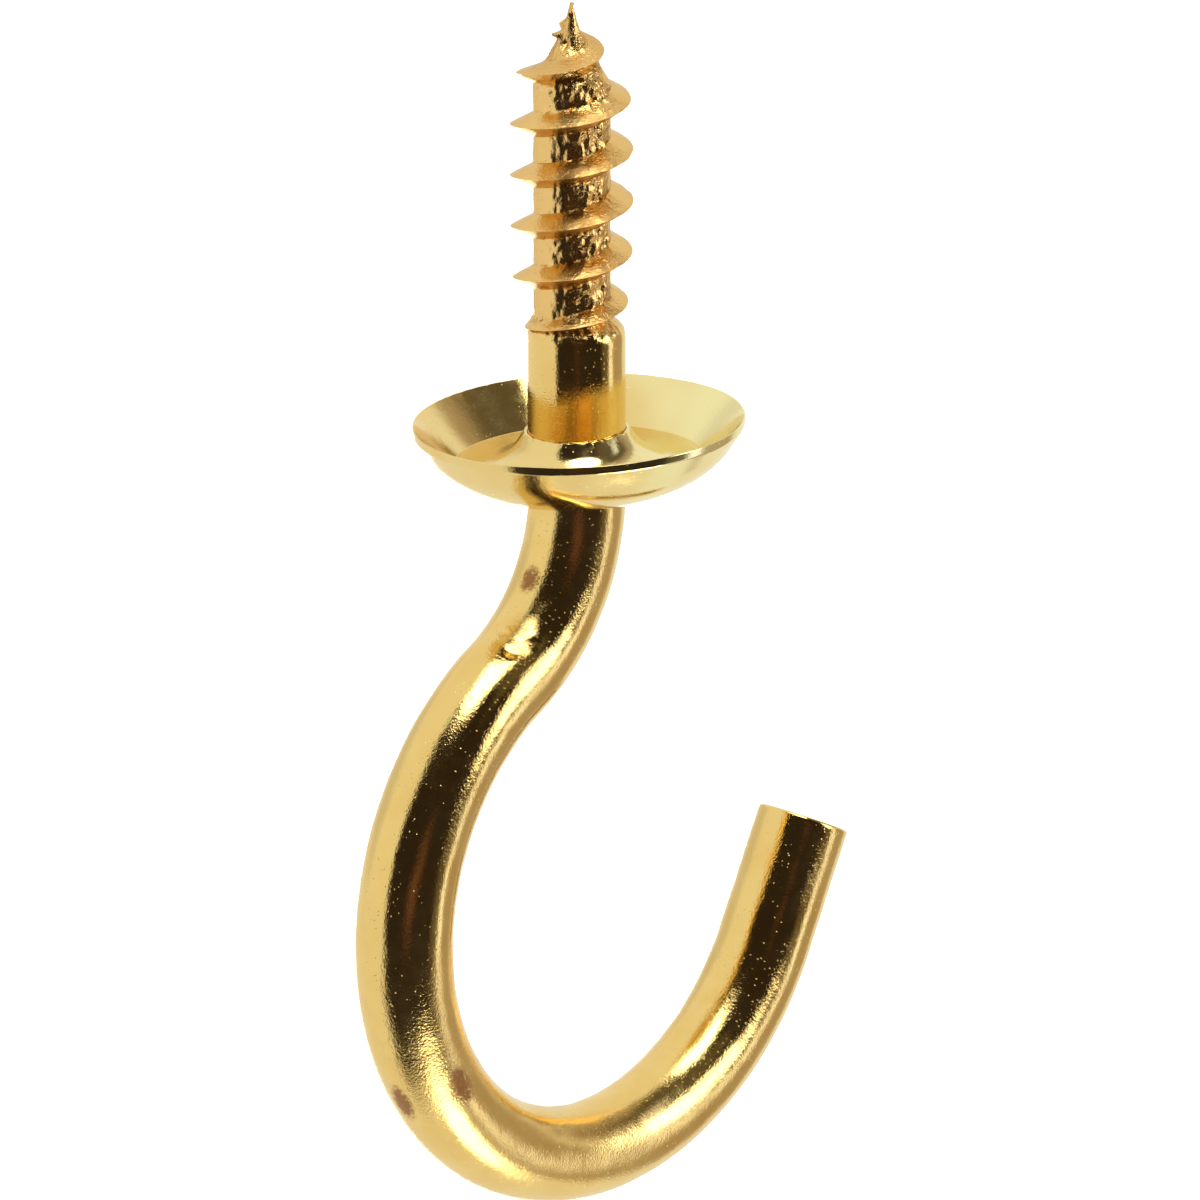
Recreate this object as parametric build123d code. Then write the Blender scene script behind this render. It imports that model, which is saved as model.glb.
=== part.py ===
from build123d import *

import os
from math import cos, pi, radians, sin, tan

# A cup hook: one length of wire with a wood-screw thread at one end and an open hook at the other,
# and a stamped cup pressed on its shank. Sizes are in millimetres and angles in degrees.
# The origin is where the screw's axis meets the plane of the cup's rim, which lies on the board.
# +Z points along the screw to its point, and +X to the side on which the hook is open.

# The wire
wire_diameter = 3.0
tip_edge_break = 0.15

# The bends, measured along the middle of the wire, in order from the rim's plane down
plain_below_rim = 2.05
neck_bend_radius = 6.05
neck_bend_angle = 61.1
neck_straight = 0.2
bowl_inside_radius = 7.15
bowl_bend_angle = 214.0
tip_straight = 4.1

# The screw, from the rim's plane up
plain_above_rim = 3.0
shoulder_length = 0.5
screw_length = 13.25
point_length = 2.5
point_flat_diameter = 0.08
root_diameter = 2.36
crest_diameter = 3.74

# The helical ridge. It starts below the shoulder and ends below the point, fading in and out.
thread_pitch = 1.6
thread_flank_angle = 30.0
thread_start_direction = 43.0
thread_start_below_shoulder = 0.33
thread_end_below_point = 0.5
fade_in_turns = 1.2
fade_out_turns = 1.0
ridge_sink = 0.12
spans_per_turn = 2
steps_per_span = 8

# The cup
rim_diameter = 10.2
cup_depth = 1.8
sheet = 0.4
wall_slope = 56.0
floor_corner_radius = 2.8
least_floor_flat = 0.02
collar_below_rim = 0.1
collar_thickness = 0.18
collar_flare_radius = 0.65
collar_clearance = 0.01

wire_radius = wire_diameter / 2
root_radius = root_diameter / 2
ridge_height = (crest_diameter - root_diameter) / 2
thread_start = plain_above_rim - thread_start_below_shoulder
thread_turns = (screw_length - thread_end_below_point - thread_start) / thread_pitch


def smooth_step(share):
    """Rise from 0 to 1 with level ends."""
    share = min(max(share, 0.0), 1.0)
    return share * share * (3 - 2 * share)


def core_radius(height):
    """Radius of the screw's plain core at a height above the rim's plane."""
    shoulder_share = min(max((height - plain_above_rim) / shoulder_length, 0.0), 1.0)
    point_share = min(max((height - screw_length + point_length) / point_length, 0.0), 1.0)
    below_point = wire_radius + (root_radius - wire_radius) * shoulder_share
    return below_point + (point_flat_diameter / 2 - below_point) * point_share


def screw_core():
    """The screw without its ridge: plain shank, shoulder, root and point, turned about its axis."""
    shoulder_top = plain_above_rim + shoulder_length
    point_bottom = screw_length - point_length
    heights = (0, plain_above_rim, shoulder_top, point_bottom, screw_length)
    side = [(core_radius(height), height) for height in heights]
    section = make_face(Polyline((0, 0), *side, (0, screw_length), close=True))
    return revolve(Plane.XZ * section, Axis.Z)


def ridge_section(turns):
    """The ridge's crest and its two base corners, a number of turns up from where it starts."""
    height = thread_start + thread_pitch * turns
    core = core_radius(height)
    rise = smooth_step(turns / fade_in_turns) * smooth_step((thread_turns - turns) / fade_out_turns)
    hidden = core - ridge_sink / 2
    full = min(crest_diameter / 2, core + ridge_height)
    crest = hidden + (full - hidden) * rise
    half_base = (crest - core + ridge_sink) * tan(radians(thread_flank_angle))
    low, high = height - half_base, height + half_base
    corners = [(crest, height), (core_radius(low) - ridge_sink, low), (core_radius(high) - ridge_sink, high)]
    angle = radians(thread_start_direction) + 2 * pi * turns
    return [(radius * cos(angle), radius * sin(angle), z) for radius, z in corners]


def thread_ridge():
    """The helical ridge: ruled flanks between the helices that its section's corners follow."""
    span_count = round(thread_turns * spans_per_turn)
    step_turns = thread_turns / (span_count * steps_per_span)
    faces = []
    for span in range(span_count):
        first_step = span * steps_per_span
        steps = range(first_step, first_step + steps_per_span + 1)
        sections = [ridge_section(step * step_turns) for step in steps]
        crest, low, high = [Edge.make_spline(list(points)) for points in zip(*sections)]
        faces += [Face.make_surface_from_curves(*pair) for pair in ((crest, low), (low, high), (high, crest))]
    faces += [Face(Wire.make_polygon(ridge_section(turns))) for turns in (0, thread_turns)]
    return Solid(Shell(faces))


def bent_wire():
    """The wire below the rim's plane: plain shank, neck bend, bowl and straight tip."""
    with BuildLine(Plane.XZ) as middle:
        shank = Line((0, 0), (0, -plain_below_rim))
        neck = JernArc(shank @ 1, shank % 1, neck_bend_radius, -neck_bend_angle)
        neck_run = Line(neck @ 1, neck @ 1 + (neck % 1) * neck_straight)
        bowl = JernArc(neck_run @ 1, neck_run % 1, bowl_inside_radius + wire_radius, bowl_bend_angle)
        tip = Line(bowl @ 1, bowl @ 1 + (bowl % 1) * tip_straight)
    wire = sweep(Plane.XY * Circle(wire_radius), middle.wire())
    tip_face = wire.faces().sort_by_distance(tip @ 1)[0]
    return chamfer(tip_face.edges(), tip_edge_break)


def cup():
    """The dished cup, one sheet thick, with its middle drawn up into a collar round the wire."""
    slope = radians(wall_slope)
    rim_radius = rim_diameter / 2
    bore = wire_radius + collar_clearance
    collar = bore + collar_thickness
    under_flare_radius = collar_flare_radius + sheet / 2
    floor_start = max(bore + under_flare_radius, collar + collar_flare_radius) + least_floor_flat
    under_corner = rim_radius - cup_depth / tan(slope)
    corner_radius = min(floor_corner_radius, (under_corner - floor_start) / tan(slope / 2))
    inner_rim = rim_radius - sheet / sin(slope)
    floor = sheet - cup_depth
    inner_corner = inner_rim + floor / tan(slope)

    rounded = [
        ((under_corner, -cup_depth), corner_radius),
        ((bore, -cup_depth), under_flare_radius),
        ((collar, floor), collar_flare_radius),
        ((inner_corner, floor), corner_radius - sheet),
    ]
    outline = Polyline(
        (rim_radius, 0),
        rounded[0][0],
        rounded[1][0],
        (bore, -collar_below_rim),
        (collar, -collar_below_rim),
        rounded[2][0],
        rounded[3][0],
        (inner_rim, 0),
        close=True,
    )
    section = make_face(outline)
    for corner, radius in rounded:
        section = fillet(section.vertices().sort_by_distance(corner)[:1], radius)
    return revolve(Plane.XZ * section, Axis.Z)


pieces = {
    "hook_wire": screw_core() + thread_ridge() + bent_wire(),
    "cup": cup(),
}

os.makedirs("parts", exist_ok=True)
for name, piece in pieces.items():
    export_step(piece, f"parts/{name}.step")
    print(name, "solids", len(piece.solids()), "volume", round(piece.volume, 2), "mm3")
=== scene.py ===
"""The looks of a brass-plated cup hook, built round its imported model.

The hook is a threaded wire, bent into an open bowl, with a stamped cup pressed on its shank. Lengths in
the classes are in millimetres and angles in degrees, in the row's own frame: the origin is where the
screw's axis meets the plane of the cup's rim, +Z points along the screw to its point and +X to the side
on which the hook is open. Meshes are scaled to metres once they are whole.
"""
import logging
from collections.abc import Iterable
from dataclasses import dataclass
from enum import Enum
from math import atan2, ceil, copysign, cos, exp, hypot, pi, radians, sin, tan
from typing import Any

import bmesh
import bpy
import numpy as np
from mathutils import Matrix, Vector, noise


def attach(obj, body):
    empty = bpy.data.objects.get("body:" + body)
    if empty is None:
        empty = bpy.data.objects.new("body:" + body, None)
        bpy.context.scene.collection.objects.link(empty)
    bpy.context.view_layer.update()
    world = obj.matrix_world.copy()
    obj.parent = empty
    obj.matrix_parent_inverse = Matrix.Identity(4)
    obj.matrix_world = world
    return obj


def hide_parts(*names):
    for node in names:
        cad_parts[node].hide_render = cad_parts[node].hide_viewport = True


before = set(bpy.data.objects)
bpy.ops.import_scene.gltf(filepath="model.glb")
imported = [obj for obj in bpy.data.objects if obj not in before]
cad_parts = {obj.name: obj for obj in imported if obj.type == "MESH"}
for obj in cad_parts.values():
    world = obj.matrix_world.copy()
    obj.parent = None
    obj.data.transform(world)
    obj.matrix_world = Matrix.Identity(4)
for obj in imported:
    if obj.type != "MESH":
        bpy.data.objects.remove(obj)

log = logging.getLogger("cup_hook")

METRES_PER_MM = 0.001

Colour = tuple[float, float, float]
Range = tuple[float, float]


def smooth_step(share: float) -> float:
    """Rise from 0 to 1 with level ends."""
    share = min(max(share, 0.0), 1.0)
    return share * share * (3 - 2 * share)


def swell(distance: float) -> float:
    """A soft round hump: 1 in the middle and nearly 0 at a distance of 2."""
    return exp(-distance * distance)


def turn_between(first: float, second: float) -> float:
    """The shortest turn from one direction to another, in degrees."""
    return (second - first + 180.0) % 360.0 - 180.0


def level_direction(angle: float) -> Vector:
    """The level direction at an angle from +X."""
    return Vector((cos(radians(angle)), sin(radians(angle)), 0))


class Mark(Enum):
    """What each vertex of a piece remembers, for its finish to read."""

    DRAWN = "drawn"
    WEAR = "wear"
    GRIT = "grit"
    # Painted sheen: how much paler a vertex is tinted, standing in for brighter reflections on one side.
    PAINTED_SHEEN = "pale"


class NodeSheet:
    """Adds nodes to one material's or world's tree, and links them."""

    def __init__(self, tree: bpy.types.NodeTree) -> None:
        """Start with an empty tree."""
        self.tree = tree
        tree.nodes.clear()

    def add(self, kind: str, inputs: dict[str | int, Any] | None = None, **settings: Any) -> bpy.types.Node:
        """Add one node.

        Args:
            kind: The node's type name.
            inputs: What each named or numbered input takes, a socket or a plain value.
            settings: The node's own settings.

        Returns:
            The new node.
        """
        node = self.tree.nodes.new(kind)
        for name, value in settings.items():
            setattr(node, name, value)
        for name, value in (inputs or {}).items():
            if isinstance(value, bpy.types.NodeSocket):
                self.tree.links.new(value, node.inputs[name])
            else:
                node.inputs[name].default_value = value
        return node

    def maths(self, operation: str, *values: Any, clamp: bool = False) -> bpy.types.NodeSocket:
        """Work out one number from others.

        Args:
            operation: The Math node's operation.
            values: Its two or three inputs, sockets or plain numbers.
            clamp: Whether the result is kept from 0 to 1.

        Returns:
            The result's socket.
        """
        inputs = dict(enumerate(values))
        return self.add("ShaderNodeMath", inputs, operation=operation, use_clamp=clamp).outputs[0]

    def blend(self, share: Any, first: Any, second: Any) -> bpy.types.NodeSocket:
        """Blend two colours.

        Args:
            share: How much of the second colour there is, from 0 to 1.
            first: A colour or its socket.
            second: A colour or its socket.

        Returns:
            The blended colour's socket.
        """
        node = self.add("ShaderNodeMix", {0: share, 6: first, 7: second}, data_type="RGBA")
        return node.outputs[2]

    def remap(self, value: Any, start: float, end: float, low: float, high: float) -> bpy.types.NodeSocket:
        """Carry a number smoothly from one range to another, and keep it there.

        Args:
            value: The number's socket.
            start: The value that gives low.
            end: The value that gives high.
            low: The result at start.
            high: The result at end.

        Returns:
            The result's socket.
        """
        inputs = {"Value": value, "From Min": start, "From Max": end, "To Min": low, "To Max": high}
        return self.add("ShaderNodeMapRange", inputs, interpolation_type="SMOOTHSTEP").outputs[0]

    def speckle(
        self, place: Any, scale: float, detail: float = 2.0, ruggedness: float = 0.5
    ) -> bpy.types.NodeSocket:
        """Soft random variation, about 0.5 on average.

        Args:
            place: The socket of the points that it is read at.
            scale: Its grains in each unit of length.
            detail: How many finer layers it has.
            ruggedness: How strong they are.

        Returns:
            The value's socket.
        """
        inputs = {"Vector": place, "Scale": scale, "Detail": detail, "Roughness": ruggedness}
        return self.add("ShaderNodeTexNoise", inputs).outputs[0]


def blank_material(name: str) -> tuple[bpy.types.Material, NodeSheet]:
    """Start a material with no nodes.

    Args:
        name: Its name.

    Returns:
        The material, and the sheet that takes its nodes.
    """
    made = bpy.data.materials.new(name)
    made.use_nodes = True
    return made, NodeSheet(made.node_tree)


def mesh_object(bm: bmesh.types.BMesh, name: str, material: bpy.types.Material) -> bpy.types.Object:
    """Turn a mesh into an object of the scene, at the origin.

    Args:
        bm: The mesh. It is freed.
        name: The name that the mesh and its object get.
        material: Its finish.

    Returns:
        The object.
    """
    mesh = bpy.data.meshes.new(name)
    bm.to_mesh(mesh)
    bm.free()
    mesh.materials.append(material)
    made = bpy.data.objects.new(name, mesh)
    bpy.context.scene.collection.objects.link(made)
    return made


@dataclass(frozen=True)
class BrassPlate:
    """Bright brass plating over steel, as it lies on one piece, with a painted sheen where the piece marks
    one.

    Its patterns are read in millimetres at the place that each vertex had before the wire was bent, so
    that they follow the metal round its bends.
    """

    name: str
    colour: Colour = (0.81, 0.585, 0.20)
    warm_colour: Colour = (0.79, 0.54, 0.17)
    # Painted sheen: the paler tint laid on one side of the cup, not a colour of the plating.
    painted_sheen_colour: Colour = (0.86, 0.76, 0.36)
    rolled_colour: Colour = (0.80, 0.52, 0.19)
    worn_colour: Colour = (0.27, 0.11, 0.035)
    edge_tint: Colour = (1.0, 0.97, 0.9)
    rolled_edge_tint: Colour = (0.80, 0.70, 0.56)
    torn_colour: Colour = (0.70, 0.42, 0.13)
    cloud_scale: float = 0.7
    cloud_range: Range = (0.35, 0.7)
    rolled_range: Range = (2.9, 3.4)
    rolled_share: float = 0.8
    torn_range: Range = (0.3, 0.9)
    torn_share: float = 0.8
    torn_off_ridge: float = 0.6
    ridge_haze: float = 0.13
    ridge_range: Range = (1.36, 1.62)
    haze_scale: float = 2.3
    haze_range: Range = (0.3, 0.75)
    smooth: float = 0.07
    hazy: float = 0.14
    grit_haze: float = 0.10
    worn_scale: float = 9.0
    worn_range: Range = (0.2, 0.75)
    worn_share: float = 0.9
    worn_roughness: float = 0.36
    ripple_scale: float = 1.6
    ripple_height: float = 0.006
    grain_scale: float = 14.0
    grain_stretch: float = 0.9
    grain_height: float = 0.012
    grain_least: float = 0.36
    grain_on_grit: float = 0.95
    lump_scale: float = 7.7
    lump_height: float = 0.022
    pit_scale: float = 6.0
    pit_size: float = 0.17
    pit_depth: float = 0.014
    pit_patch_scale: float = 0.9
    pit_patch_range: Range = (0.42, 0.58)
    pit_least: float = 0.35

    def material(self) -> bpy.types.Material:
        """Build the plating.

        Returns:
            The material, with its colour, painted sheen, haze and fine relief.
        """
        made, sheet = blank_material(self.name)
        place = sheet.add("ShaderNodeAttribute", attribute_name=Mark.DRAWN.value).outputs["Vector"]
        wear = sheet.add("ShaderNodeAttribute", attribute_name=Mark.WEAR.value).outputs["Fac"]
        grit = sheet.add("ShaderNodeAttribute", attribute_name=Mark.GRIT.value).outputs["Fac"]

        tone = sheet.remap(sheet.speckle(place, self.cloud_scale, 3.0), *self.cloud_range, 0.0, 1.0)
        plated = sheet.blend(tone, (*self.colour, 1.0), (*self.warm_colour, 1.0))
        # Painted sheen: blend in the paler tint where a vertex is marked for it.
        pale = sheet.add("ShaderNodeAttribute", attribute_name=Mark.PAINTED_SHEEN.value).outputs["Fac"]
        plated = sheet.blend(pale, plated, (*self.painted_sheen_colour, 1.0))

        rolled, ridge = self.rolled(sheet, place)
        plated = sheet.blend(rolled, plated, (*self.rolled_colour, 1.0))
        torn = sheet.maths("MULTIPLY", rolled, sheet.remap(grit, *self.torn_range, 0.0, self.torn_share))
        torn = sheet.maths("MULTIPLY", torn, sheet.maths("MULTIPLY_ADD", ridge, -self.torn_off_ridge, 1.0))
        plated = sheet.blend(torn, plated, (*self.torn_colour, 1.0))
        edge_tint = sheet.blend(rolled, (*self.edge_tint, 1.0), (*self.rolled_edge_tint, 1.0))

        mottled = sheet.maths("MULTIPLY_ADD", sheet.speckle(place, self.worn_scale, 3.0), 1.8, 0.1)
        mottled = sheet.maths("MULTIPLY", wear, mottled)
        worn = sheet.remap(mottled, *self.worn_range, 0.0, self.worn_share)
        colour = sheet.blend(worn, plated, (*self.worn_colour, 1.0))

        haze = sheet.speckle(place, self.haze_scale, 4.0)
        haze = sheet.remap(haze, *self.haze_range, self.smooth, self.hazy)
        haze = sheet.maths("MULTIPLY_ADD", grit, self.grit_haze, haze)
        haze = sheet.maths("MULTIPLY_ADD", ridge, self.ridge_haze, haze)
        roughness = sheet.maths("MULTIPLY_ADD", worn, self.worn_roughness - self.hazy, haze)

        metal = {
            "Base Color": colour,
            "Metallic": 1.0,
            "Roughness": roughness,
            "Specular Tint": edge_tint,
            "Normal": self.relief(sheet, place, grit, worn),
        }
        surface = sheet.add("ShaderNodeBsdfPrincipled", metal).outputs[0]
        sheet.add("ShaderNodeOutputMaterial", {"Surface": surface})
        return made

    def rolled(self, sheet: NodeSheet, place: Any) -> tuple[bpy.types.NodeSocket, bpy.types.NodeSocket]:
        """Find the rolled thread, and its ridge, from the place alone.

        Args:
            sheet: The material's nodes.
            place: The place that the patterns are read at.

        Returns:
            How far a point is within the threaded length, and within its ridge, each from 0 to 1.
        """
        height = sheet.add("ShaderNodeSeparateXYZ", {"Vector": place}).outputs["Z"]
        rolled = sheet.remap(height, *self.rolled_range, 0.0, self.rolled_share)
        flat = {0: place, 1: (1.0, 1.0, 0.0)}
        level = sheet.add("ShaderNodeVectorMath", flat, operation="MULTIPLY").outputs[0]
        reach = sheet.add("ShaderNodeVectorMath", {0: level}, operation="LENGTH").outputs["Value"]
        ridge = sheet.maths("MULTIPLY", rolled, sheet.remap(reach, *self.ridge_range, 0.0, 1.0))
        return rolled, ridge

    def relief(self, sheet: NodeSheet, place: Any, grit: Any, worn: Any) -> bpy.types.NodeSocket:
        """Lay the fine relief: slow ripples, grain across the wire, grit where a vertex has it, and pits.

        Args:
            sheet: The material's nodes.
            place: The place that the patterns are read at.
            grit: How gritty the metal is, from 0 to 1.
            worn: How worn the plating is, from 0 to 1.

        Returns:
            The normal's socket.
        """
        stretch = {"Vector": place, "Scale": (self.grain_stretch, self.grain_stretch, 1.0)}
        stretched = sheet.add("ShaderNodeMapping", stretch).outputs[0]
        grain = sheet.speckle(stretched, self.grain_scale, 2.0, 0.6)
        lumps = sheet.speckle(place, self.lump_scale, 3.0, 0.7)
        height = sheet.maths("MULTIPLY", sheet.speckle(place, self.ripple_scale, 1.0), self.ripple_height)
        share = sheet.maths("MULTIPLY_ADD", grit, self.grain_on_grit, self.grain_least)
        share = sheet.maths("MULTIPLY", share, self.grain_height)
        height = sheet.maths("MULTIPLY_ADD", grain, share, height)
        gritty = sheet.maths("MULTIPLY", sheet.maths("MAXIMUM", grit, worn), self.lump_height)
        height = sheet.maths("MULTIPLY_ADD", lumps, gritty, height)

        cells = sheet.add("ShaderNodeTexVoronoi", {"Vector": place, "Scale": self.pit_scale})
        pit = sheet.remap(cells.outputs["Distance"], 0.0, self.pit_size, -self.pit_depth, 0.0)
        few = sheet.speckle(place, self.pit_patch_scale)
        few = sheet.remap(few, *self.pit_patch_range, self.pit_least, 1.0)
        height = sheet.maths("ADD", height, sheet.maths("MULTIPLY", pit, few))
        bump = sheet.add("ShaderNodeBump", {"Height": height, "Strength": 1.0, "Distance": METRES_PER_MM})
        return bump.outputs[0]


@dataclass(frozen=True)
class Bend:
    """One stretch of the wire's route. A straight one has no turn."""

    length: float
    radius: float = 0.0
    turn: float = 0.0

    @staticmethod
    def arc(radius: float, turn: float) -> "Bend":
        """A stretch that turns, its radius to the wire's middle and its turn towards +X positive."""
        return Bend(radius * radians(abs(turn)), radius, turn)

    def ahead(self, along: float) -> tuple[float, float, float]:
        """Follow the stretch from its start, which points down -Z at the origin.

        Args:
            along: The distance along it.

        Returns:
            How far that goes sideways, towards +X, and down, and the turn made, in radians.
        """
        if not self.turn:
            return 0.0, along, 0.0
        side = 1.0 if self.turn > 0 else -1.0
        angle = along / self.radius
        return side * self.radius * (1 - cos(angle)), self.radius * sin(angle), side * angle


@dataclass(frozen=True)
class Route:
    """The line that the middle of the wire follows below the rim's plane."""

    stretches: tuple[Bend, ...] = (
        Bend(2.05),
        Bend.arc(6.05, -61.1),
        Bend(0.2),
        Bend.arc(8.65, 214.0),
        Bend(4.1),
    )

    @property
    def length(self) -> float:
        """The wire's length below the rim's plane."""
        return sum(stretch.length for stretch in self.stretches)

    def at(self, along: float) -> tuple[Vector, Vector]:
        """Find a point of the route.

        Args:
            along: Its distance from the rim's plane. A point above that plane has less than none.

        Returns:
            The point, and the direction there that was +X before the wire was bent.
        """
        x, z, heading = 0.0, 0.0, 0.0
        last = self.stretches[-1]
        for stretch in self.stretches:
            here = along if stretch is last else min(along, stretch.length)
            side, down, turned = stretch.ahead(here)
            x += side * cos(heading) + down * sin(heading)
            z += side * sin(heading) - down * cos(heading)
            heading += turned
            along -= stretch.length
            if along <= 0:
                break
        return Vector((x, 0.0, z)), Vector((cos(heading), 0.0, sin(heading)))


@dataclass(frozen=True)
class SkinMark:
    """A place on the wire's skin, with its own length and width."""

    along: float
    direction: float
    length: float
    width: float

    def away(self, along: float, direction: float, radius: float) -> float:
        """Measure how far a point is from the mark.

        Args:
            along: The point's distance along the wire.
            direction: Its direction round the wire.
            radius: The wire's radius.

        Returns:
            The distance, in the mark's own lengths and widths.
        """
        across = radians(turn_between(self.direction, direction)) * radius
        return hypot((along - self.along) / self.length, across / self.width)


@dataclass(frozen=True)
class Dent(SkinMark):
    """A mark in the wire's skin: a hollow, a raised ring round it, or both."""

    depth: float
    lip: float = 0.0
    lip_at: float = 1.5
    lip_width: float = 0.4

    def change(self, along: float, direction: float, radius: float) -> float:
        """How much the mark raises the skin at a point: less than none in its hollow."""
        away = self.away(along, direction, radius)
        return self.lip * swell((away - self.lip_at) / self.lip_width) - self.depth * swell(away)


@dataclass(frozen=True)
class WornSpot(SkinMark):
    """A place where the plating has rubbed through to a coppery brown."""

    def wear(self, along: float, direction: float, radius: float) -> float:
        """How worn a point is, from 0 to 1."""
        return swell(self.away(along, direction, radius))


@dataclass(frozen=True)
class Lump:
    """A broken bit of the screw's point, or a hollow where its rise is less than none."""

    height: float
    direction: float
    rise: float
    half_height: float
    half_turn: float

    def change(self, height: float, direction: float) -> float:
        """How much it raises the metal at a height and a direction."""
        aside = turn_between(self.direction, direction) / self.half_turn
        return self.rise * swell((height - self.height) / self.half_height) * swell(aside)


@dataclass(frozen=True)
class ScrewThread:
    """The rolled wood-screw thread and its gimlet point, above the plain shank."""

    pitch: float = 1.6
    crest_height: float = 10.477
    shoulder_start: float = 3.0
    shoulder_length: float = 0.5
    top: float = 13.25
    root_radius: float = 1.18
    half_base: float = 0.40
    full_height: float = 0.68
    bulge: float = 1.05
    aside: float = 0.135
    aside_direction: float = 132.8
    aside_range: Range = (-0.3, 0.5)
    steps_in_turn: int = 168
    steps_in_half_pitch: int = 12
    crowding: float = 1.3
    point_heights: tuple[float, ...] = (10.2, 10.75, 11.3, 11.9, 12.35, 12.65, 13.25)
    point_radii: tuple[float, ...] = (1.5, 1.18, 0.86, 0.52, 0.27, 0.18, 0.03)
    crest_heights: tuple[float, ...] = (2.3, 3.1, 3.9, 4.7, 6.0, 9.5, 10.3, 11.1, 11.9, 12.3, 12.62, 12.8)
    crest_radii: tuple[float, ...] = (1.5, 1.52, 1.72, 1.81, 1.87, 1.88, 1.8, 1.67, 0.95, 0.7, 0.34, 0.15)

    def core_radius(self, height: float, shank_radius: float) -> float:
        """Find the radius of the screw without its ridge.

        Args:
            height: The height above the rim's plane.
            shank_radius: The plain shank's radius.

        Returns:
            The core's radius there.
        """
        down = smooth_step((height - self.shoulder_start) / self.shoulder_length)
        below = shank_radius + (self.root_radius - shank_radius) * down
        return min(below, float(np.interp(height, self.point_heights, self.point_radii)))

    def ridge_share(self, angle: float, height: float, rise: float) -> float:
        """How far up the ridge a point is.

        Args:
            angle: Its direction, in radians.
            height: Its height above the rim's plane.
            rise: The ridge's own height there.

        Returns:
            A share from 0 at the root to 1 on the crest.
        """
        turns = (height - self.crest_height) / self.pitch - angle / (2 * pi)
        off_crest = abs(turns - round(turns)) * self.pitch
        base = self.half_base * min(max(rise / self.full_height, 0.35), 1.0)
        return 1 - min(off_crest / base, 1.0) ** self.bulge

    def crest_rise(self, height: float, shank_radius: float) -> float:
        """Find how far the ridge's crest stands above the core.

        Args:
            height: The height above the rim's plane.
            shank_radius: The plain shank's radius.

        Returns:
            The crest's rise there, and 0 where there is no ridge.
        """
        crest = float(np.interp(height, self.crest_heights, self.crest_radii, left=0.0))
        return max(crest - self.core_radius(height, shank_radius), 0.0)

    def blank(self, bm: bmesh.types.BMesh, bottom: float) -> None:
        """Wind one pitch's upright line up the screw, as a sleeve of radius 1.

        Args:
            bm: The mesh that it is added to.
            bottom: The height at which the sleeve is cut off.
        """
        half = self.steps_in_half_pitch
        shares = [step / half for step in range(-half, half + 1)]
        crowded = [copysign(abs(share) ** self.crowding, share) for share in shares]
        offsets = [share * self.pitch / 2 for share in crowded]
        start = self.crest_height - self.pitch * ceil((self.crest_height - bottom) / self.pitch + 1)
        turns = ceil((self.top - start) / self.pitch + 1)
        line = [bm.verts.new((1.0, 0.0, start + offset)) for offset in offsets]
        edges = [bm.edges.new(pair) for pair in zip(line, line[1:])]
        bmesh.ops.spin(
            bm,
            geom=line + edges,
            cent=(0, 0, 0),
            axis=(0, 0, 1),
            dvec=(0, 0, self.pitch / self.steps_in_turn),
            angle=2 * pi,
            steps=self.steps_in_turn,
            use_merge=False,
        )
        one_turn = bm.verts[:] + bm.edges[:] + bm.faces[:]
        for turn in range(1, turns):
            made = bmesh.ops.duplicate(bm, geom=one_turn)["geom"]
            copied = [item for item in made if isinstance(item, bmesh.types.BMVert)]
            bmesh.ops.translate(bm, verts=copied, vec=(0, 0, turn * self.pitch))
        bmesh.ops.remove_doubles(bm, verts=bm.verts, dist=0.004)
        for height, side in ((bottom, -1), (self.top, 1)):
            bmesh.ops.bisect_plane(
                bm,
                geom=bm.verts[:] + bm.edges[:] + bm.faces[:],
                plane_co=(0, 0, height),
                plane_no=(0, 0, side),
                clear_outer=True,
            )


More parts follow.
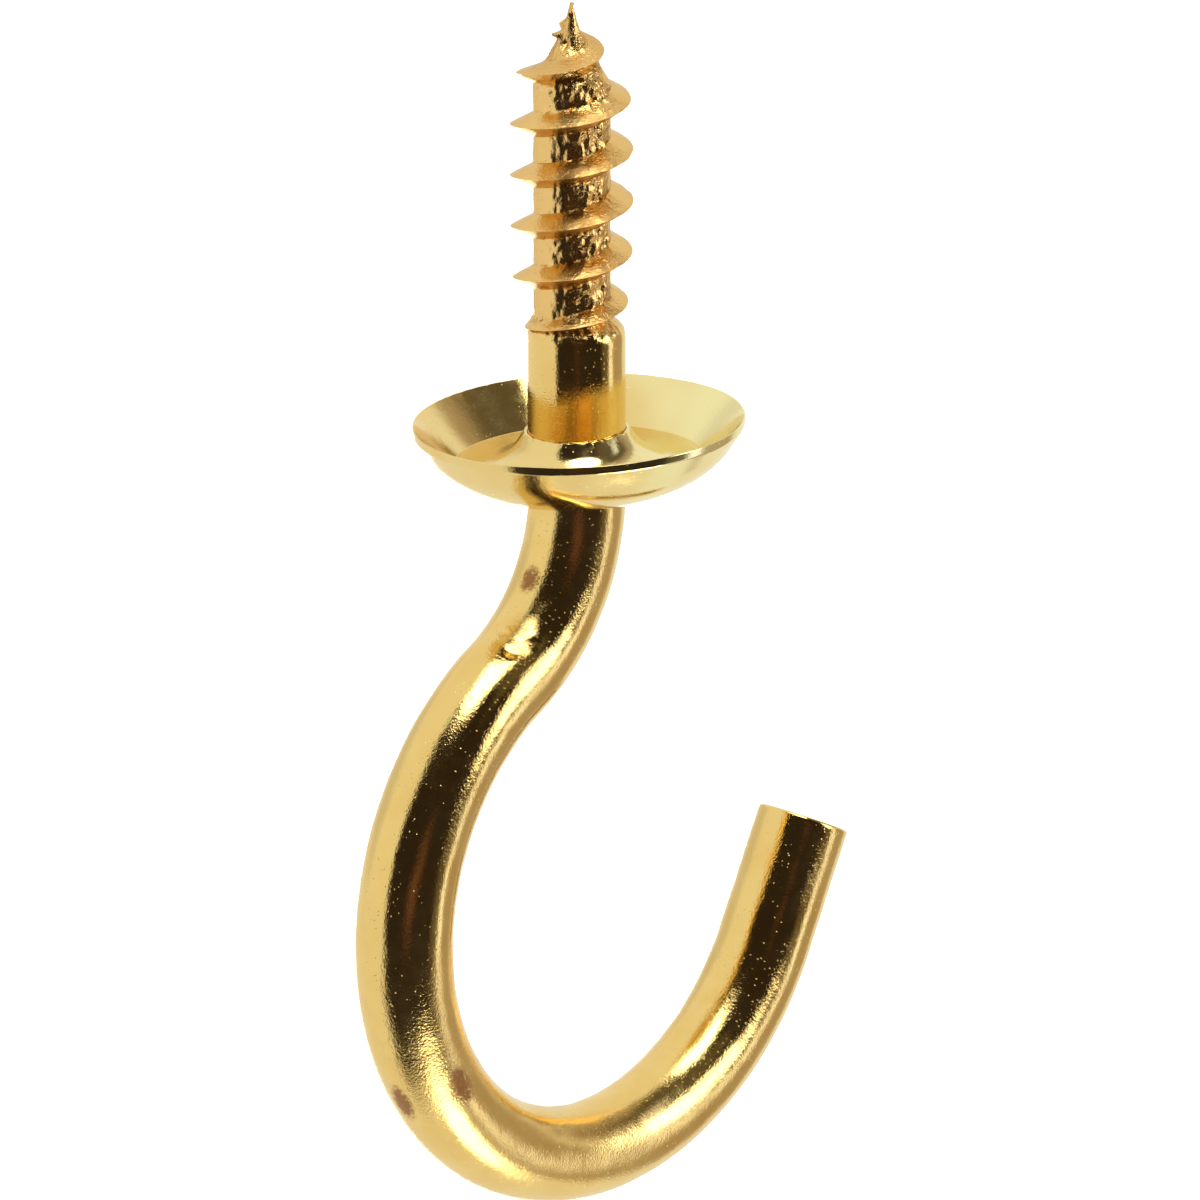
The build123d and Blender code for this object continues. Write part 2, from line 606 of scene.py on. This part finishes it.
@dataclass(frozen=True)
class HookWire:
    """The wire, made as the real one is: drawn straight, threaded, bent and plated."""

    thread: ScrewThread
    route: Route
    node: str = "hook_wire"
    radius: float = 1.5
    hidden_joint: float = 1.0
    joint_gap: float = 0.04
    segments: int = 120
    ring_spacing: float = 0.1
    rings_between: int = 9
    edge_break: float = 0.09
    tip_short: float = 0.02
    edge_steps: int = 3
    end_rings: int = 6
    front: float = -137.2
    torn_direction: float = -104.0
    torn_width: float = 40.0
    torn_depth: float = 0.08
    torn_scale: float = 6.2
    torn_layers: tuple[tuple[float, float], ...] = ((1.0, 1.0), (2.3, 0.5), (0.45, 0.9))
    torn_off_crest: float = 0.8
    torn_from: float = 11.0
    torn_shoulder: float = 3.4
    lumps: tuple[Lump, ...] = (
        Lump(12.27, 140.0, 0.32, 0.09, 22.0),
        Lump(12.02, -165.0, -0.20, 0.12, 20.0),
    )
    nick_share: float = 0.10
    nick_scale: float = 2.7
    wave_depth: float = 0.010
    wave_scale: float = 1.0
    tip_taper: float = 0.03
    taper_length: float = 10.0
    dents: tuple[Dent, ...] = (
        Dent(8.12, -141.0, 0.38, 0.30, 0.036, 0.006, 1.5, 0.5),
        Dent(8.55, -149.0, 0.15, 0.20, 0.055),
        Dent(7.60, -133.0, 0.12, 0.16, 0.012, 0.006, 1.4, 0.5),
        Dent(7.98, -172.0, 0.20, 0.15, 0.0, 0.006, 1.3, 0.35),
        Dent(7.95, -175.0, 0.09, 0.05, 0.012),
        Dent(5.99, -150.0, 0.05, 0.20, 0.012, 0.004, 1.5, 0.5),
    )
    spots: tuple[WornSpot, ...] = (
        WornSpot(5.43, -178.0, 0.58, 0.34),
        WornSpot(22.2, -174.5, 0.62, 0.36),
        WornSpot(22.25, -96.0, 0.74, 0.40),
    )

    @property
    def end(self) -> float:
        """How far along the route the wire's cut end is."""
        return self.route.length - self.tip_short

    def build(self, plate: BrassPlate) -> bpy.types.Object:
        """Make the wire and dress it.

        Args:
            plate: The plating that it gets.

        Returns:
            The finished piece.
        """
        bm = bmesh.new()
        self.thread.blank(bm, -self.hidden_joint + self.joint_gap)
        self.draw_plain_length(bm)
        self.close_point(bm)
        bmesh.ops.recalc_face_normals(bm, faces=bm.faces)
        drawn = bm.verts.layers.float_vector.new(Mark.DRAWN.value)
        wear = bm.verts.layers.float.new(Mark.WEAR.value)
        grit = bm.verts.layers.float.new(Mark.GRIT.value)
        for vert in bm.verts:
            along = -vert.co.z
            angle = atan2(vert.co.y, vert.co.x)
            vert[wear] = max(spot.wear(along, angle * 180 / pi, self.radius) for spot in self.spots)
            vert[grit] = self.grit_at(angle, along)
            if along < self.hidden_joint:
                vert.co = self.threaded_point(vert.co, angle)
            else:
                self.wrinkle(vert, angle, along)
            vert[drawn] = vert.co
            self.bend(vert)
        return make_piece(bm, "bent_wire", self.node, plate, sharp_from=50.0)

    def draw_plain_length(self, bm: bmesh.types.BMesh) -> None:
        """Draw the plain wire down from the hidden joint, break its cut end's edge and close it.

        Args:
            bm: The mesh, which already holds the threaded sleeve.
        """
        top = -self.hidden_joint - self.joint_gap
        length = self.end + top - self.edge_break
        steps = ceil(length / self.ring_spacing / (self.rings_between + 1))
        circle = bmesh.ops.create_circle(bm, radius=self.radius, segments=self.segments)["verts"]
        bmesh.ops.translate(bm, verts=circle, vec=(0, 0, top))
        first = list({edge for vert in circle for edge in vert.link_edges})
        sleeve = [edge for edge in bm.edges if edge.is_boundary and self.on_level(edge, -self.hidden_joint)]
        drawn = bmesh.ops.spin(
            bm,
            geom=circle + first,
            cent=(0, 0, 0),
            axis=(0, 0, 1),
            dvec=(0, 0, -length / steps),
            angle=0.0,
            steps=steps,
        )
        ring = [item for item in drawn["geom_last"] if isinstance(item, bmesh.types.BMEdge)]
        long_edge = self.ring_spacing * self.rings_between
        lengthwise = [edge for edge in bm.edges if edge.calc_length() > long_edge]
        bmesh.ops.subdivide_edges(bm, edges=lengthwise, cuts=self.rings_between, use_grid_fill=True)
        bmesh.ops.bridge_loops(bm, edges=first + sleeve)
        for step in range(1, self.edge_steps + 1):
            share = radians(90 * step / self.edge_steps)
            radius = self.radius - self.edge_break * (1 - cos(share))
            ring = self.next_ring(bm, ring, radius, -self.end + self.edge_break * (1 - sin(share)))
        inner = self.radius - self.edge_break
        for step in range(1, self.end_rings):
            ring = self.next_ring(bm, ring, inner * (1 - step / self.end_rings), -self.end)
        bmesh.ops.holes_fill(bm, edges=ring)

    def on_level(self, edge: bmesh.types.BMEdge, height: float) -> bool:
        """Whether an edge lies at about a height."""
        return all(abs(vert.co.z - height) < 2 * self.joint_gap for vert in edge.verts)

    def next_ring(
        self, bm: bmesh.types.BMesh, ring: Iterable[bmesh.types.BMEdge], radius: float, height: float
    ) -> list[bmesh.types.BMEdge]:
        """Extrude a ring of edges to another radius and height.

        Args:
            bm: The mesh that the ring is in.
            ring: Its edges.
            radius: The new ring's radius.
            height: The new ring's height.

        Returns:
            The new ring's edges.
        """
        made = bmesh.ops.extrude_edge_only(bm, edges=list(ring))["geom"]
        for vert in (item for item in made if isinstance(item, bmesh.types.BMVert)):
            around = Vector((vert.co.x, vert.co.y, 0)).normalized()
            vert.co = around * radius + Vector((0, 0, height))
        return [item for item in made if isinstance(item, bmesh.types.BMEdge) and item.is_boundary]

    def close_point(self, bm: bmesh.types.BMesh) -> None:
        """Close the hole at the screw's point."""
        bmesh.ops.holes_fill(bm, edges=[edge for edge in bm.edges if edge.is_boundary])

    def threaded_point(self, start: Vector, angle: float) -> Vector:
        """Carry a point of the sleeve to the screw's own surface.

        Args:
            start: The point on the sleeve.
            angle: Its direction, in radians.

        Returns:
            The point on the shank, root or ridge, with its torn metal.
        """
        height = start.z
        core = self.thread.core_radius(height, self.radius)
        rise = self.thread.crest_rise(height, self.radius)
        share = self.thread.ridge_share(angle, height, rise)
        radius = core + rise * share
        low, high = (self.thread.shoulder_start + reach for reach in self.thread.aside_range)
        inwards = self.thread.aside * smooth_step((height - low) / (high - low))
        around = Vector((cos(angle), sin(angle), 0))
        place = Vector((around.x * radius, around.y * radius, height))
        torn = self.torn_share(angle, height)
        crumpled = place * self.torn_scale
        crumples = sum(part * noise.noise(crumpled * finer) for finer, part in self.torn_layers)
        room = (1 - self.torn_off_crest * share) * min(core / self.thread.root_radius, 1.0)
        radius += self.torn_depth * torn * crumples * room
        radius += sum(lump.change(height, angle * 180 / pi) for lump in self.lumps)
        radius += self.crest_nick(place, share) * rise
        shift = level_direction(self.thread.aside_direction) * inwards
        return around * max(radius, 0.01) + shift + Vector((0, 0, height))

    def crest_nick(self, place: Vector, share: float) -> float:
        """How much small nicks lower the ridge at a point, as a share of its height."""
        nicked = max(noise.noise(place * self.nick_scale) - 0.15, 0.0)
        return -self.nick_share * smooth_step(share) * nicked

    def torn_share(self, angle: float, height: float) -> float:
        """Find how torn the threaded metal is: most on its torn side, and at both ends of the thread.

        Args:
            angle: The point's direction, in radians.
            height: Its height above the rim's plane.

        Returns:
            A share from 0 to 1.
        """
        direction = angle * 180 / pi
        side = swell(turn_between(self.torn_direction, direction) / self.torn_width)
        front = swell(turn_between(self.front, direction) / 75)
        above = smooth_step((height - self.thread.shoulder_start + 0.05) / 0.3)
        patches = 0.65 + 0.9 * noise.noise(Vector((cos(angle), sin(angle), height * 0.8)) * 1.4)
        ends = 0.9 * smooth_step((height - self.torn_from) / 0.5)
        ends += 0.6 * front * swell((height - self.torn_shoulder) / 0.4)
        return above * min(max(0.1 + 0.2 * front + side * patches * 1.3 + ends, 0.0), 1.0)

    def grit_at(self, angle: float, along: float) -> float:
        """Find how gritty the plating is: in patches, most in the bowl, and on the torn thread.

        Args:
            angle: The point's direction, in radians.
            along: Its distance along the wire from the rim's plane, less than none above it.

        Returns:
            A share from 0 to 1.
        """
        if along < -self.thread.shoulder_start:
            return 0.15 + 0.85 * self.torn_share(angle, -along)
        place = Vector((cos(angle) * self.radius, sin(angle) * self.radius, along))
        patches = smooth_step(0.5 + 1.5 * noise.noise(place * 0.45))
        bowl = smooth_step((along - 17) / 5) * smooth_step((38 - along) / 6)
        return (0.15 + 0.55 * patches) * (0.35 + 0.65 * bowl) * smooth_step((along + 1) / 3)

    def wrinkle(self, vert: bmesh.types.BMVert, angle: float, along: float) -> None:
        """Give the plain wire its slow waves and the marks of its handling.

        Args:
            vert: The vertex, still on the straight wire.
            angle: Its direction, in radians.
            along: Its distance along the wire from the rim's plane.
        """
        around = Vector((vert.co.x, vert.co.y, 0))
        if around.length < self.radius - 2 * self.edge_break:
            vert.co.z += 0.02 * noise.noise(vert.co * 2.5)
            return
        place = vert.co * self.wave_scale
        wave = noise.noise(place) + 0.4 * noise.noise(place * 2.4)
        change = min(self.wave_depth * (wave - 0.4), 0.0)
        change -= self.tip_taper * smooth_step(1 + (along - self.route.length) / self.taper_length)
        change += sum(dent.change(along, angle * 180 / pi, self.radius) for dent in self.dents)
        vert.co += around.normalized() * change

    def bend(self, vert: bmesh.types.BMVert) -> None:
        """Carry a vertex from the straight wire to the bent one.

        Args:
            vert: The vertex. It stays where it is if it lies above the rim's plane.
        """
        if vert.co.z >= 0:
            return
        centre, sideways = self.route.at(-vert.co.z)
        vert.co = centre + sideways * vert.co.x + Vector((0, vert.co.y, 0))


@dataclass(frozen=True)
class StampedCup:
    """The dished cup, with its middle drawn up into a collar round the wire."""

    node: str = "cup"
    rim_radius: float = 5.08
    rim_face: float = 0.27
    rim_round: float = 0.03
    depth: float = 2.13
    wall_slope: float = 58.0
    corner_radius: float = 2.8
    bore: float = 1.51
    under_flare: float = 0.85
    lip_radius: float = 1.60
    lip_below_rim: float = 0.32
    boss_foot: tuple[float, float] = (2.16, -1.16)
    boss_flare: float = 1.2
    crease_at: tuple[float, float] = (3.86, -1.35)
    corner_steps: int = 14
    segments: int = 192
    burr_depth: float = 0.05
    wave_depth: float = 0.012
    nick_depth: float = 0.012
    lean: float = 2.12
    lean_direction: float = -62.2
    aside: float = 0.06
    aside_direction: float = -47.2
    lift: float = 0.15

    def corners(self) -> list[tuple[float, float, float]]:
        """The corners of the cup's section.

        Returns:
            Each corner's radius from the axis, its height, and the radius that rounds it.
        """
        under_corner = self.rim_radius - (self.depth - self.rim_face) / tan(radians(self.wall_slope))
        thin = (self.lip_radius - self.bore) / 3
        return [
            (self.rim_radius, -self.rim_face, 4 * self.rim_round),
            (under_corner, -self.depth, self.corner_radius),
            (self.bore, -self.depth, self.under_flare),
            (self.bore, -self.lip_below_rim, thin),
            (self.lip_radius, -self.lip_below_rim, thin),
            (*self.boss_foot, self.boss_flare),
            (*self.crease_at, thin),
            (self.rim_radius, 0.0, self.rim_round),
        ]

    def build(self, plate: BrassPlate) -> bpy.types.Object:
        """Make the cup and dress it.

        Args:
            plate: The plating that it gets.

        Returns:
            The finished piece.
        """
        bm = bmesh.new()
        corners = self.corners()
        bm.faces.new([bm.verts.new((radius, 0.0, height)) for radius, height, _ in corners])
        for radius, height, rounding in corners:
            place = Vector((radius, 0.0, height))
            corner = min(bm.verts, key=lambda vert: (vert.co - place).length)
            before, after = [edge.other_vert(corner).co - corner.co for edge in corner.link_edges]
            bmesh.ops.bevel(
                bm,
                geom=[corner],
                offset=rounding / tan(before.angle(after) / 2),
                offset_type="ABSOLUTE",
                segments=self.corner_steps,
                profile=0.5,
                affect="VERTICES",
                material=-1,
                clamp_overlap=False,
            )
        bmesh.ops.delete(bm, geom=bm.faces[:], context="FACES_ONLY")
        long_edges = [edge for edge in bm.edges if edge.calc_length() > 0.3]
        bmesh.ops.subdivide_edges(bm, edges=long_edges, cuts=6)
        bmesh.ops.spin(
            bm,
            geom=bm.verts[:] + bm.edges[:],
            cent=(0, 0, 0),
            axis=(0, 0, 1),
            angle=2 * pi,
            steps=self.segments,
            use_merge=True,
        )
        bmesh.ops.remove_doubles(bm, verts=bm.verts, dist=0.001)
        bmesh.ops.recalc_face_normals(bm, faces=bm.faces)
        self.press(bm)
        drawn = bm.verts.layers.float_vector.new(Mark.DRAWN.value)
        bm.verts.layers.float.new(Mark.WEAR.value)
        grit = bm.verts.layers.float.new(Mark.GRIT.value)
        pale = bm.verts.layers.float.new(Mark.PAINTED_SHEEN.value)
        for vert in bm.verts:
            vert[drawn] = vert.co
            vert[grit] = 0.2 * smooth_step(0.5 + 2 * noise.noise(vert.co * 0.8))
            # Painted sheen: the side towards aside_direction, the camera's right, is marked to be tinted
            # paler, with some noise.
            side = vert.co.dot(level_direction(self.aside_direction)) / self.rim_radius
            vert[pale] = smooth_step(0.1 + 0.9 * side + 0.7 * noise.noise(vert.co * 0.5))
        self.lean_over(bm)
        return make_piece(bm, "stamped_cup", self.node, plate, sharp_from=60.0)

    def press(self, bm: bmesh.types.BMesh) -> None:
        """Give the dish its slow waves, and the collar its torn lip.

        Args:
            bm: The cup's mesh, still square to the screw.
        """
        for vert in bm.verts:
            distance = hypot(vert.co.x, vert.co.y)
            outward = smooth_step((distance - 2.4) / 1.5)
            vert.co.z += self.wave_depth * outward * (noise.noise(vert.co * 0.5) - 0.4)
            lip = smooth_step((vert.co.z + 0.55) / 0.35) * smooth_step((2.0 - distance) / 0.2)
            torn = noise.noise(vert.co * 3.3) + 0.6 * noise.noise(vert.co * 8.0)
            rim = smooth_step((distance - self.rim_radius + 0.2) / 0.15)
            vert.co.z += self.burr_depth * lip * torn + self.nick_depth * rim * noise.noise(vert.co * 7.0)

    def lean_over(self, bm: bmesh.types.BMesh) -> None:
        """Lean the dish a little and push it aside, its collar still round the wire, as photographed.

        Args:
            bm: The cup's mesh.
        """
        uphill = level_direction(self.lean_direction) * tan(radians(self.lean))
        aside = level_direction(self.aside_direction) * self.aside
        for vert in bm.verts:
            outward = smooth_step((hypot(vert.co.x, vert.co.y) - self.lip_radius) / self.boss_flare)
            vert.co += aside * outward + Vector((0, 0, self.lift + vert.co.dot(uphill)))


def make_piece(
    bm: bmesh.types.BMesh, name: str, node: str, plate: BrassPlate, sharp_from: float
) -> bpy.types.Object:
    """Finish a mesh as a piece that stands for a node.

    Args:
        bm: The mesh, in millimetres. It is freed.
        name: The piece's name.
        node: The node that it stands for.
        plate: Its plating.
        sharp_from: Edges that turn more than this stay sharp.

    Returns:
        The piece's object, at the origin.
    """
    bmesh.ops.scale(bm, verts=bm.verts, vec=(METRES_PER_MM,) * 3)
    piece = mesh_object(bm, name, plate.material())
    piece.data.shade_smooth()
    piece.data.set_sharp_from_angle(angle=radians(sharp_from))
    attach(piece, "root")
    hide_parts(node)
    return piece


@dataclass(frozen=True)
class PhotoView:
    """Where the photograph was taken from."""

    azimuth: float = 47.2
    elevation: float = 17.86
    roll: float = 0.12
    hook_to_right: float = -0.71
    hook_up: float = 5.386
    hook_ahead: float = 348.1
    lens: float = 342.8
    sensor: float = 36.0
    nearest: float = 0.02
    farthest: float = 20.0

    def axes(self) -> tuple[Vector, Vector, Vector]:
        """Find the camera's own directions.

        Returns:
            Its right, up and ahead, in the row's frame.
        """
        turn, tilt, roll = radians(self.azimuth), radians(self.elevation), radians(self.roll)
        right = Vector((cos(turn), -sin(turn), 0))
        up = Vector((sin(tilt) * sin(turn), sin(tilt) * cos(turn), cos(tilt)))
        ahead = Vector((cos(tilt) * sin(turn), cos(tilt) * cos(turn), -sin(tilt)))
        return right * cos(roll) - up * sin(roll), right * sin(roll) + up * cos(roll), ahead

    def towards(self, azimuth: float, elevation: float) -> Vector:
        """A direction from the hook.

        Args:
            azimuth: Degrees from the camera's side, growing to the camera's right.
            elevation: Degrees above the horizon.

        Returns:
            The direction, of length 1.
        """
        turn = radians(self.azimuth)
        near = Vector((-sin(turn), -cos(turn), 0))
        right = Vector((cos(turn), -sin(turn), 0))
        level = near * cos(radians(azimuth)) + right * sin(radians(azimuth))
        return level * cos(radians(elevation)) + Vector((0, 0, sin(radians(elevation))))

    def build(self) -> bpy.types.Object:
        """Place the camera, and make it the scene's own.

        Returns:
            The camera's object.
        """
        right, up, ahead = self.axes()
        place = -(right * self.hook_to_right + up * self.hook_up + ahead * self.hook_ahead)
        data = bpy.data.cameras.new("camera")
        data.lens = self.lens
        data.sensor_width = self.sensor
        data.clip_start = self.nearest
        data.clip_end = self.farthest
        camera = bpy.data.objects.new("camera", data)
        turned = Matrix((right, up, -ahead)).transposed().to_4x4()
        camera.matrix_world = Matrix.Translation(place * METRES_PER_MM) @ turned
        bpy.context.scene.collection.objects.link(camera)
        bpy.context.scene.camera = camera
        return camera


@dataclass(frozen=True)
class SoftBox:
    """A plain lamp panel that faces the hook. Distances are in metres."""

    name: str
    azimuth: float
    elevation: float
    width: float
    height: float
    brightness: float
    colour: Colour = (1.0, 1.0, 1.0)
    distance: float = 0.45

    def build(self, view: PhotoView) -> None:
        """Hang the panel, its width and height given as the angles that the hook sees.

        Args:
            view: The camera's place, from which directions are counted.
        """
        data = bpy.data.lights.new(self.name, "AREA")
        data.shape = "ELLIPSE"
        data.size = 2 * self.distance * tan(radians(self.width / 2))
        data.size_y = 2 * self.distance * tan(radians(self.height / 2))
        data.energy = self.brightness * pi * pi / 4 * data.size * data.size_y
        data.color = self.colour
        lamp = bpy.data.objects.new(self.name, data)
        away = view.towards(self.azimuth, self.elevation)
        lamp.location = away * self.distance
        lamp.rotation_euler = away.to_track_quat("Z", "Y").to_euler()
        lamp.visible_camera = False
        bpy.context.scene.collection.objects.link(lamp)


@dataclass(frozen=True)
class Card:
    """A curved card round the hook that its metal reflects. Distances are in metres."""

    name: str
    left: float
    right: float
    tops: tuple[float, float]
    bottoms: tuple[float, float]
    shade: Colour
    soft_sides: float = 0.15
    soft_ends: float = 0.15
    distance: float = 0.55
    steps: int = 48

    def build(self, view: PhotoView) -> None:
        """Make the card from a flat grid, wrapped round the hook.

        Args:
            view: The camera's place, from which directions are counted.
        """
        bm = bmesh.new()
        bmesh.ops.create_grid(bm, x_segments=self.steps, y_segments=self.steps, size=1.0)
        cover = bm.verts.layers.float.new("cover")
        for vert in bm.verts:
            across, up = (vert.co.x + 1) / 2, (vert.co.y + 1) / 2
            bottom = self.bottoms[0] + (self.bottoms[1] - self.bottoms[0]) * across
            top = self.tops[0] + (self.tops[1] - self.tops[0]) * across
            sides = smooth_step(min(across, 1 - across) / self.soft_sides) if self.soft_sides else 1.0
            vert[cover] = sides * smooth_step(min(up, 1 - up) / self.soft_ends)
            azimuth = self.left + (self.right - self.left) * across
            vert.co = view.towards(azimuth, bottom + (top - bottom) * up) * self.distance
        card = mesh_object(bm, self.name, self.material())
        card.visible_camera = False
        card.visible_diffuse = False
        card.visible_shadow = False
        card.visible_transmission = False

    def material(self) -> bpy.types.Material:
        """Build the card's finish.

        Returns:
            An even shade that fades out at the card's edges.
        """
        made, sheet = blank_material(self.name)
        cover = sheet.add("ShaderNodeAttribute", attribute_name="cover").outputs["Fac"]
        clear = sheet.add("ShaderNodeBsdfTransparent").outputs[0]
        shade = sheet.add("ShaderNodeEmission", {"Color": (*self.shade, 1.0), "Strength": 1.0}).outputs[0]
        mixed = sheet.add("ShaderNodeMixShader", {0: cover, 1: clear, 2: shade}).outputs[0]
        sheet.add("ShaderNodeOutputMaterial", {"Surface": mixed})
        return made


@dataclass(frozen=True)
class Studio:
    """The white room, its pale floor, lamps and cards, laid out as the photograph's metal reflects them."""

    view: PhotoView
    floor_drop: float = 0.6
    floor_size: float = 12.0
    floor_colour: Colour = (0.82, 0.82, 0.80)
    floor_glow: float = 0.9
    fill: float = 0.6
    lamps: tuple[SoftBox, ...] = (
        SoftBox("right_lamp", 76.5, 10.5, 26, 31, 4, (0.92, 0.95, 1)),
        SoftBox("low_right_lamp", 52, -54, 31, 32, 3.6),
        SoftBox("top_lamp", 20, 73, 36, 36, 4.5),
        SoftBox("back_lamp", -172, -24, 22, 30, 2.2),
    )
    cards: tuple[Card, ...] = (
        Card(
            "low_card", -180, 180, (-3, -3), (-100, -100), (0.96, 0.96, 0.96),
            soft_sides=0, soft_ends=0.03, distance=0.585, steps=72,
        ),
        Card(
            "dark_card", -51, 74, (69, 54), (-72, -32), (0.030, 0.022, 0.019),
            soft_sides=0.05, soft_ends=0.06, distance=0.54,
        ),
        Card(
            "warm_card", -8, 26, (6, 24), (-24, -8), (0.15, 0.07, 0.05),
            soft_sides=0.4, soft_ends=0.4, distance=0.52,
        ),
        Card(
            "high_right_card", 38, 122, (80, 78), (26, 16), (0.13, 0.11, 0.08),
            soft_sides=0.2, soft_ends=0.2, distance=0.53,
        ),
        Card(
            "right_card", 92, 137, (66, 66), (4, 4), (0.46, 0.38, 0.31),
            soft_sides=0.25, soft_ends=0.2, distance=0.56,
        ),
        Card(
            "low_side_card", 70, 140, (10, 10), (-52, -52), (0.50, 0.42, 0.35),
            soft_sides=0.2, soft_ends=0.15, distance=0.57,
        ),
        Card(
            "side_dark_card", 60, 88, (48, 48), (-38, -38), (0.14, 0.11, 0.07),
            soft_sides=0.2, soft_ends=0.25, distance=0.535,
        ),
        Card(
            "side_strip", 79, 96.5, (52, 52), (-48, -48), (1.35, 1.4, 1.7),
            soft_sides=0.3, soft_ends=0.25, distance=0.525,
        ),
        Card(
            "left_back_card", -162, -100, (24, 24), (-12, -12), (0.78, 0.78, 0.78),
            soft_sides=0.35, soft_ends=0.35, distance=0.55,
        ),
    )

    def build(self) -> None:
        """Build the room, the lamps and the cards."""
        bpy.context.scene.view_settings.view_transform = "Standard"
        self.build_air()
        self.build_floor()
        for item in (*self.lamps, *self.cards):
            item.build(self.view)

    def seen_directly(self, sheet: NodeSheet) -> bpy.types.NodeSocket:
        """Tell what is looked at from what lights other things.

        Args:
            sheet: The nodes of the floor's or the air's own tree.

        Returns:
            1 for what the camera, a reflection or glass shows, and 0 for light that falls on things.
        """
        path = sheet.add("ShaderNodeLightPath").outputs
        seen = sheet.maths("MAXIMUM", path["Is Camera Ray"], path["Is Glossy Ray"])
        return sheet.maths("MAXIMUM", seen, path["Is Transmission Ray"])

    def build_air(self) -> None:
        """Fill the room with even white light."""
        world = bpy.data.worlds.new("white_room")
        bpy.context.scene.world = world
        world.use_nodes = True
        sheet = NodeSheet(world.node_tree)
        strength = sheet.maths("MULTIPLY_ADD", self.seen_directly(sheet), 1 - self.fill, self.fill)
        glow = sheet.add("ShaderNodeBackground", {"Color": (1, 1, 1, 1), "Strength": strength}).outputs[0]
        sheet.add("ShaderNodeOutputWorld", {"Surface": glow})

    def build_floor(self) -> None:
        """Lay the pale floor. It is clear from below, so that the hook's underside can be looked at."""
        bm = bmesh.new()
        bmesh.ops.create_grid(bm, x_segments=1, y_segments=1, size=self.floor_size / 2)
        bmesh.ops.translate(bm, verts=bm.verts, vec=(0, 0, -self.floor_drop))
        made, sheet = blank_material("pale_floor")
        matt = sheet.add("ShaderNodeBsdfDiffuse", {"Color": (*self.floor_colour, 1.0)}).outputs[0]
        strength = sheet.maths("MULTIPLY", self.seen_directly(sheet), self.floor_glow)
        glow = sheet.add("ShaderNodeEmission", {"Color": (1, 1, 1, 1), "Strength": strength}).outputs[0]
        both = sheet.add("ShaderNodeAddShader", {0: matt, 1: glow}).outputs[0]
        under = sheet.add("ShaderNodeNewGeometry").outputs["Backfacing"]
        clear = sheet.add("ShaderNodeBsdfTransparent").outputs[0]
        mixed = sheet.add("ShaderNodeMixShader", {0: under, 1: both, 2: clear}).outputs[0]
        sheet.add("ShaderNodeOutputMaterial", {"Surface": mixed})
        floor = mesh_object(bm, "floor", made)


def cup_plate() -> BrassPlate:
    """Mix the cup's plating.

    Returns:
        A plating paler than the wire's, and finer in its grain.
    """
    return BrassPlate(
        "cup_plating",
        colour=(0.80, 0.61, 0.24),
        warm_colour=(0.79, 0.58, 0.21),
        smooth=0.09,
        hazy=0.16,
        grain_height=0.004,
        ripple_height=0.004,
        pit_depth=0.006,
    )


def main() -> None:
    """Build the hook and the studio round it."""
    logging.basicConfig(level=logging.INFO, format="%(name)s: %(message)s")
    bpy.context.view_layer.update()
    wire = HookWire(ScrewThread(), Route()).build(BrassPlate("wire_plating"))
    cup = StampedCup().build(cup_plate())
    for piece in (wire, cup):
        log.info("%s: %d faces", piece.name, len(piece.data.polygons))
    view = PhotoView()
    view.build()
    Studio(view).build()


if __name__ == "__main__":
    main()
